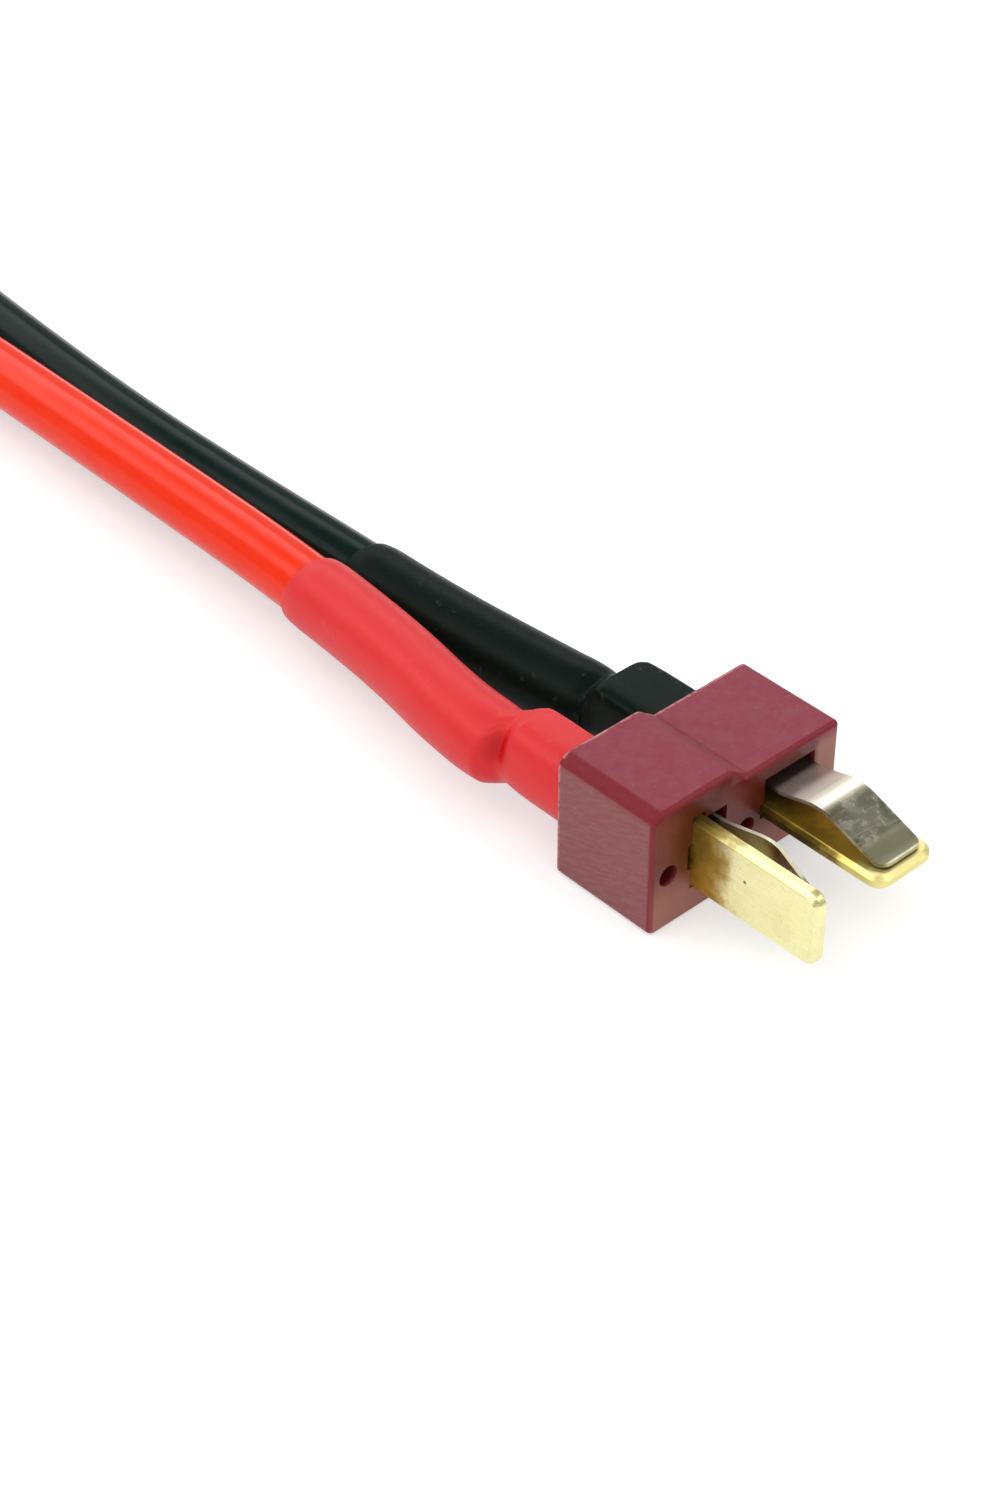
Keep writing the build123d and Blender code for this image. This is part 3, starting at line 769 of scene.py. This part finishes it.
def rings_along(path, radii, turns, ridges, depth):
    """Rings square to a path: point = path + r cos(a) side + r sin(a) up, where a runs once round and
    r = radius + depth |cos((ridges a + turn) / 2)|."""
    forward = np.gradient(path, axis=0)
    forward /= np.linalg.norm(forward, axis=1, keepdims=True)
    side = np.cross(forward, (0.0, 0.0, 1.0))
    side /= np.linalg.norm(side, axis=1, keepdims=True)
    up = np.cross(side, forward)
    angle = np.linspace(0.0, 2.0 * np.pi, STRAND_SIDES * ridges, endpoint=False)[None, :]
    radius = radii[:, None] + depth * np.abs(np.cos(0.5 * (ridges * angle + turns[:, None])))
    return (
        path[:, None, :]
        + (radius * np.cos(angle))[..., None] * side[:, None, :]
        + (radius * np.sin(angle))[..., None] * up[:, None, :]
    )


def smooth_rows(table, y):
    """Each column of a table of sections at the distances y: a cubic in each step. Its slopes at the rows
    are the harmonic mean of the steps' slopes, or nought where they differ in sign, so none overshoots."""
    at = table[:, 0]
    rise = np.diff(table[:, 1:], axis=0) / np.diff(at)[:, None]
    before, after = rise[:-1], rise[1:]
    same_way = before * after > 0
    inner = np.where(same_way, 2 * before * after / np.where(same_way, before + after, 1.0), 0.0)
    slopes = np.concatenate((rise[:1], inner, rise[-1:]))
    step = np.clip(np.searchsorted(at, y) - 1, 0, len(at) - 2)
    width = (at[step + 1] - at[step])[:, None]
    t = np.clip((y[:, None] - at[step][:, None]) / width, 0.0, 1.0)
    return (
        table[step, 1:] * (2 * t**3 - 3 * t**2 + 1)
        + slopes[step] * width * (t**3 - 2 * t**2 + t)
        + table[step + 1, 1:] * (3 * t**2 - 2 * t**3)
        + slopes[step + 1] * width * (t**3 - t**2)
    )


def sleeve_rings(sections, dimples, line, y, inset, slant):
    """Rings of a sleeve at the distances y. At the angle a, a ring is r = (|cos a / reach|^n +
    |sin a / reach|^n)^(-1/n) less the inset from the section's middle, its reach and squareness n differing
    by quarter, and each dimple takes off depth e^-(distance^2). Towards the last section the middle passes
    to the wire's line, and the slant carries the upper right of a ring towards -Y."""
    last = sections[-1, 0]
    table = smooth_rows(sections, np.minimum(y / MM, last))
    on_wire = np.column_stack((np.interp(y, line[:, 1], line[:, 0]), np.interp(y, line[:, 1], line[:, 2])))
    leaving = np.clip((y / MM - SLEEVE_LEAVES_TAB) / (last - SLEEVE_LEAVES_TAB), 0.0, 1.0)[:, None]
    leaving = leaving * leaving * (3 - 2 * leaving)
    middle = table[:, :2] * MM * (1 - leaving) + on_wire * leaving
    angle = np.linspace(-np.pi, np.pi, SLEEVE_SIDES, endpoint=False)[None, :]
    cosine, sine = np.cos(angle), np.sin(angle)
    rightness, upness = 0.5 + 0.5 * cosine, 0.5 + 0.5 * sine
    left, right, over, under = (table[:, 2 + side][:, None] * MM for side in range(4))
    upper_left, upper_right, lower_left, lower_right = (table[:, 6 + corner][:, None] for corner in range(4))
    n = upness * (upper_left * (1 - rightness) + upper_right * rightness)
    n = n + (1 - upness) * (lower_left * (1 - rightness) + lower_right * rightness)
    across = np.abs(cosine) / np.where(cosine > 0, right, left)
    upward = np.abs(sine) / np.where(sine > 0, over, under)
    radius = (across**n + upward**n) ** (-1.0 / n) - inset[:, None]
    for at, round_at, depth, reach, round_reach in dimples:
        away = (np.degrees(angle) - round_at + 180.0) % 360.0 - 180.0
        apart = (((y / MM - at) / reach) ** 2)[:, None] + (away / round_reach) ** 2
        radius = radius - depth * MM * np.exp(-apart)
    return np.stack((
        middle[:, :1] + radius * cosine,
        y[:, None] - slant[:, None] * SLANT_SHARE * (cosine + sine),
        middle[:, 1:] + radius * sine,
    ), axis=-1)


def add_piece(name, data, material, slot, *nodes):
    """A piece of the object that rides on the plug's body and stands for CAD nodes."""
    piece = bpy.data.objects.new(name, data)
    bpy.context.scene.collection.objects.link(piece)
    data.materials.clear()
    data.materials.append(material)
    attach(piece, BODY)
    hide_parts(*nodes)
    return piece


def make_sleeve(wire, sections, dimples, line, end, sizes, material):
    """One shrunk sleeve as a closed skin: out along its outer face, over its lip along half a circle, and
    back inside. Near its end the outer face thins by a share of the wall that grows with the distance
    squared."""
    wall, lip = sizes.sleeve_wall, sizes.sleeve_lip
    stations = (sections[0, 0] * MM, *SLEEVE_STATIONS, end - 2.0 * MM)
    runs = zip(stations[:-1], stations[1:], SLEEVE_STEPS)
    outward = np.concatenate((
        *(np.linspace(start, stop, steps, endpoint=False) for start, stop, steps in runs),
        np.linspace(end - 2.0 * MM, end - lip, 16),
    ))
    thinning = np.clip((outward - end + sizes.sleeve_thinning) / (sizes.sleeve_thinning - lip), 0.0, 1.0)
    thinned = LIP_THINNING * wall * thinning**2
    turn = np.linspace(0.0, np.pi, 9)[1:-1]
    lip_inset = thinned[-1] + (wall - thinned[-1]) * (0.5 - 0.5 * np.cos(turn))
    y = np.concatenate((outward, outward[-1] + lip * np.sin(turn), outward[::-1]))
    inset = np.concatenate((thinned, lip_inset, np.full(len(outward), wall)))
    near_end = np.clip((y - end) / SLANT_REACH + 1.0, 0.0, 1.0)
    points = sleeve_rings(sections, dimples, line, y, inset, sizes.sleeve_slant * near_end)
    name = wire + "_sleeve"
    return add_piece(name, grid_mesh(name, points, True), material, name, wire + "_heat_shrink")


def make_strands(wire, line, sizes, material):
    """One strand bundle: a ridged tube along the wire's line and straight on at both ends. The last rings of
    its tinned tip close in, and its ridges turn by the twist times the distance."""
    leaving = (line[-1] - line[-2]) / np.linalg.norm(line[-1] - line[-2])
    arriving = (line[0] - line[1]) / np.linalg.norm(line[0] - line[1])
    along = np.linspace(0.0, 1.0, 48)
    tip_path = line[-1] + leaving * (sizes.tip_length * along)[1:, None]
    foot_path = line[0] + arriving * (sizes.soldered_length * along[:0:-6])[:, None]
    path = np.concatenate((foot_path, line, tip_path))
    tip_radii = np.full(len(tip_path), sizes.tip / 2)
    tip_radii[-len(TIP_ROUNDING):] *= TIP_ROUNDING
    radii = np.concatenate((np.full(len(path) - len(tip_path), sizes.strands / 2), tip_radii))
    travelled = np.concatenate(([0.0], np.cumsum(np.linalg.norm(np.diff(path, axis=0), axis=1))))
    depth = RIDGE_DEPTH * sizes.tip
    turns = travelled * sizes.twist * sizes.ridges
    points = rings_along(path, radii - depth, turns, sizes.ridges, depth)
    name = wire + "_strands"
    return add_piece(name, grid_mesh(name, points, False), material, "tinned_copper", wire + "_conductor")


def dress_nodes(material, *nodes):
    """Gives CAD nodes one material in every slot."""
    for node in nodes:
        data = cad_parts[node].data
        if not data.materials:
            data.materials.append(material)
        for slot in range(len(data.materials)):
            data.materials[slot] = material


# Operators

class TPLUG_OT_stage(Operator):
    """Camera, floor and soft light"""

    bl_idname = "tplug.stage"
    bl_label = "Set the stage"

    def execute(self, context):
        scene = context.scene
        stage = scene.tplug_stage
        self.place_camera(scene, stage)
        self.light(scene, stage)
        self.lay_floor(scene, stage)
        scene.view_settings.view_transform = "Standard"
        return {"FINISHED"}

    def place_camera(self, scene, stage):
        """A level camera, turned about Z by its azimuth and looking down by its elevation."""
        azimuth, elevation = stage.azimuth, stage.elevation
        back = Vector((
            math.sin(azimuth) * math.cos(elevation),
            -math.cos(azimuth) * math.cos(elevation),
            math.sin(elevation),
        ))
        right = Vector((0.0, 0.0, 1.0)).cross(back).normalized()
        turn = Matrix((right, back.cross(right), back)).transposed()
        data = bpy.data.cameras.new("camera")
        data.lens = stage.lens
        data.clip_start = 0.005
        camera = bpy.data.objects.new("camera", data)
        camera.matrix_world = Matrix.LocRotScale(Vector(stage.camera_place), turn, None)
        scene.collection.objects.link(camera)
        scene.camera = camera

    def light(self, scene, stage):
        """White to the camera. Gloss sees a tent round the object, dim at its foot, with one bright strip,
        dark above that and grey overhead. One lamp, broad and soft."""
        world = bpy.data.worlds.new("studio")
        scene.world = world
        world.use_nodes = True
        shade = Shade(world.node_tree)
        path = shade.node("ShaderNodeLightPath")
        up = shade.axes(shade.node("ShaderNodeTexCoord").outputs["Generated"])["Z"]
        tent = shade.plus(*(shade.ramp(up, *step) for step in TENT_STEPS))
        level = shade.mix(path.outputs["Is Glossy Ray"], (stage.fill,) * 3, tent)
        level = shade.mix(path.outputs["Is Camera Ray"], level, WHITE)
        shade.feed(world.node_tree.nodes["Background"].inputs["Color"], level)
        lamp = bpy.data.lights.new("soft_lamp", "AREA")
        lamp.energy = stage.key
        lamp.shape = "DISK"
        lamp.size = stage.lamp_width
        holder = bpy.data.objects.new("soft_lamp", lamp)
        holder.location = stage.lamp_place
        holder.rotation_euler = (LAMP_AIM - holder.location).to_track_quat("-Z", "Y").to_euler()
        scene.collection.objects.link(holder)

    def lay_floor(self, scene, stage):
        """A pale floor that turns white to the camera where no shadow falls."""
        corners = [(-1, -1, 0), (1, -1, 0), (1, 1, 0), (-1, 1, 0)]
        mesh = bpy.data.meshes.new("floor")
        mesh.from_pydata(np.array(corners) * FLOOR_REACH, [], [(0, 1, 2, 3)])
        material, shade, surface, place = new_material("pale_floor")
        grain = shade.noise(place, 60.0)
        base = shade.mix(shade.ramp(grain, 0.0, 1.0, 0.0, 0.1), stage.floor, WHITE)
        shade.feed(surface.inputs["Base Color"], base)
        surface.inputs["Roughness"].default_value = 0.9
        surface.inputs["Emission Strength"].default_value = 1.0
        path = shade.node("ShaderNodeLightPath")
        reflected = shade.times(path.outputs["Is Glossy Ray"], 0.75)
        seen = shade.most(path.outputs["Is Camera Ray"], reflected)
        glow = shade.mix(seen, BLACK, (stage.glow,) * 3)
        shade.feed(surface.inputs["Emission Color"], glow)
        mesh.materials.append(material)
        floor = bpy.data.objects.new("floor", mesh)
        scene.collection.objects.link(floor)


class TPLUG_OT_wires(Operator):
    """Red and black silicone insulation on their smooth lines"""

    bl_idname = "tplug.wires"
    bl_label = "Lay the wires"

    def execute(self, context):
        sizes, colours = context.scene.tplug_sizes, context.scene.tplug_colours
        for wire, tint, dust, gloss in (
            ("red", colours.red_rubber, colours.red_dust, 0.20),
            ("black", colours.black_rubber, colours.black_dust, 0.07),
        ):
            name = wire + "_silicone_wire"
            data = wire_line(name, ROUTES[wire])
            data.bevel_depth = sizes.wire / 2
            data.bevel_resolution = 14
            data.resolution_u = 16
            data.use_fill_caps = True
            material = silicone_material(wire + "_silicone", tint, dust, gloss)
            add_piece(name, data, material, wire + "_silicone", wire + "_insulation")
        return {"FINISHED"}


class TPLUG_OT_strands(Operator):
    """Strand bundles with their tinned tips"""

    bl_idname = "tplug.strands"
    bl_label = "Twist the strands"

    def execute(self, context):
        material = tinned_material(context.scene.tplug_colours)
        for wire, route in ROUTES.items():
            make_strands(wire, line_points(wire + "_line", route), context.scene.tplug_sizes, material)
        return {"FINISHED"}


class TPLUG_OT_sleeves(Operator):
    """Shrunk sleeves over the tabs"""

    bl_idname = "tplug.sleeves"
    bl_label = "Shrink the sleeves"

    def execute(self, context):
        sizes, colours = context.scene.tplug_sizes, context.scene.tplug_colours
        crease_shades = [(*crease, colours.red_crease_shade) for crease in RED_CREASE_SHADES]
        red = sleeve_material("red_sleeve", colours.red_sleeve, colours.red_sheen, 0.34, 0.36, crease_shades)
        black = sleeve_material("black_sleeve", colours.black_sleeve, colours.black_sheen, 0.32, 0.085, [])
        for wire, sections, dimples, end, material in (
            ("red", RED_SECTIONS, RED_DIMPLES, sizes.red_sleeve_end, red),
            ("black", BLACK_SECTIONS, BLACK_DIMPLES, sizes.black_sleeve_end, black),
        ):
            route = ROUTES[wire]
            line = line_points(wire + "_line", route)
            piece = make_sleeve(wire, sections, dimples, line, end, sizes, material)
        return {"FINISHED"}


class TPLUG_OT_housing(Operator):
    """Finish of the moulded housing"""

    bl_idname = "tplug.housing"
    bl_label = "Finish the housing"

    def execute(self, context):
        dress_nodes(nylon_material(context.scene.tplug_colours), "housing")
        return {"FINISHED"}


class TPLUG_OT_blades(Operator):
    """Finish of the two plated blades"""

    bl_idname = "tplug.blades"
    bl_label = "Finish the blades"

    def execute(self, context):
        dress_nodes(blade_material(context.scene.tplug_colours), "upright_blade", "flat_blade")
        return {"FINISHED"}


class TPLUG_OT_leaf_springs(Operator):
    """Finish of the two bowed leaf springs"""

    bl_idname = "tplug.leaf_springs"
    bl_label = "Finish the leaf springs"

    def execute(self, context):
        material = spring_material(context.scene.tplug_colours)
        dress_nodes(material, "upright_leaf_spring", "flat_leaf_spring")
        return {"FINISHED"}


class TPLUG_OT_solder(Operator):
    """Finish of the solder inside the sleeves"""

    bl_idname = "tplug.solder"
    bl_label = "Finish the solder"

    def execute(self, context):
        material = solder_material(context.scene.tplug_colours)
        dress_nodes(material, "red_solder_joint", "black_solder_joint")
        return {"FINISHED"}


class TPLUG_PT_panel(Panel):
    """The operators and their settings"""

    bl_idname = "TPLUG_PT_panel"
    bl_label = "T Plug"
    bl_space_type = "VIEW_3D"
    bl_region_type = "UI"
    bl_category = "T Plug"

    def draw(self, context):
        layout = self.layout
        for operator in OPERATORS:
            layout.operator(operator.bl_idname)
        for group in (context.scene.tplug_sizes, context.scene.tplug_colours, context.scene.tplug_stage):
            box = layout.box()
            for name in group.bl_rna.properties.keys():
                if name not in ("rna_type", "name"):
                    box.prop(group, name)


OPERATORS = (
    TPLUG_OT_stage,
    TPLUG_OT_wires,
    TPLUG_OT_strands,
    TPLUG_OT_sleeves,
    TPLUG_OT_housing,
    TPLUG_OT_blades,
    TPLUG_OT_leaf_springs,
    TPLUG_OT_solder,
)
CLASSES = (TPlugSizes, TPlugColours, TPlugStage, *OPERATORS, TPLUG_PT_panel)


def register():
    for made in CLASSES:
        bpy.utils.register_class(made)
    bpy.types.Scene.tplug_sizes = PointerProperty(type=TPlugSizes)
    bpy.types.Scene.tplug_colours = PointerProperty(type=TPlugColours)
    bpy.types.Scene.tplug_stage = PointerProperty(type=TPlugStage)


def unregister():
    del bpy.types.Scene.tplug_stage
    del bpy.types.Scene.tplug_colours
    del bpy.types.Scene.tplug_sizes
    for made in reversed(CLASSES):
        bpy.utils.unregister_class(made)


def main():
    register()
    make_grime_group()
    make_scratch_group()
    bpy.ops.tplug.stage()
    bpy.ops.tplug.wires()
    bpy.ops.tplug.strands()
    bpy.ops.tplug.sleeves()
    bpy.ops.tplug.housing()
    bpy.ops.tplug.blades()
    bpy.ops.tplug.leaf_springs()
    bpy.ops.tplug.solder()


if __name__ == "__main__":
    main()
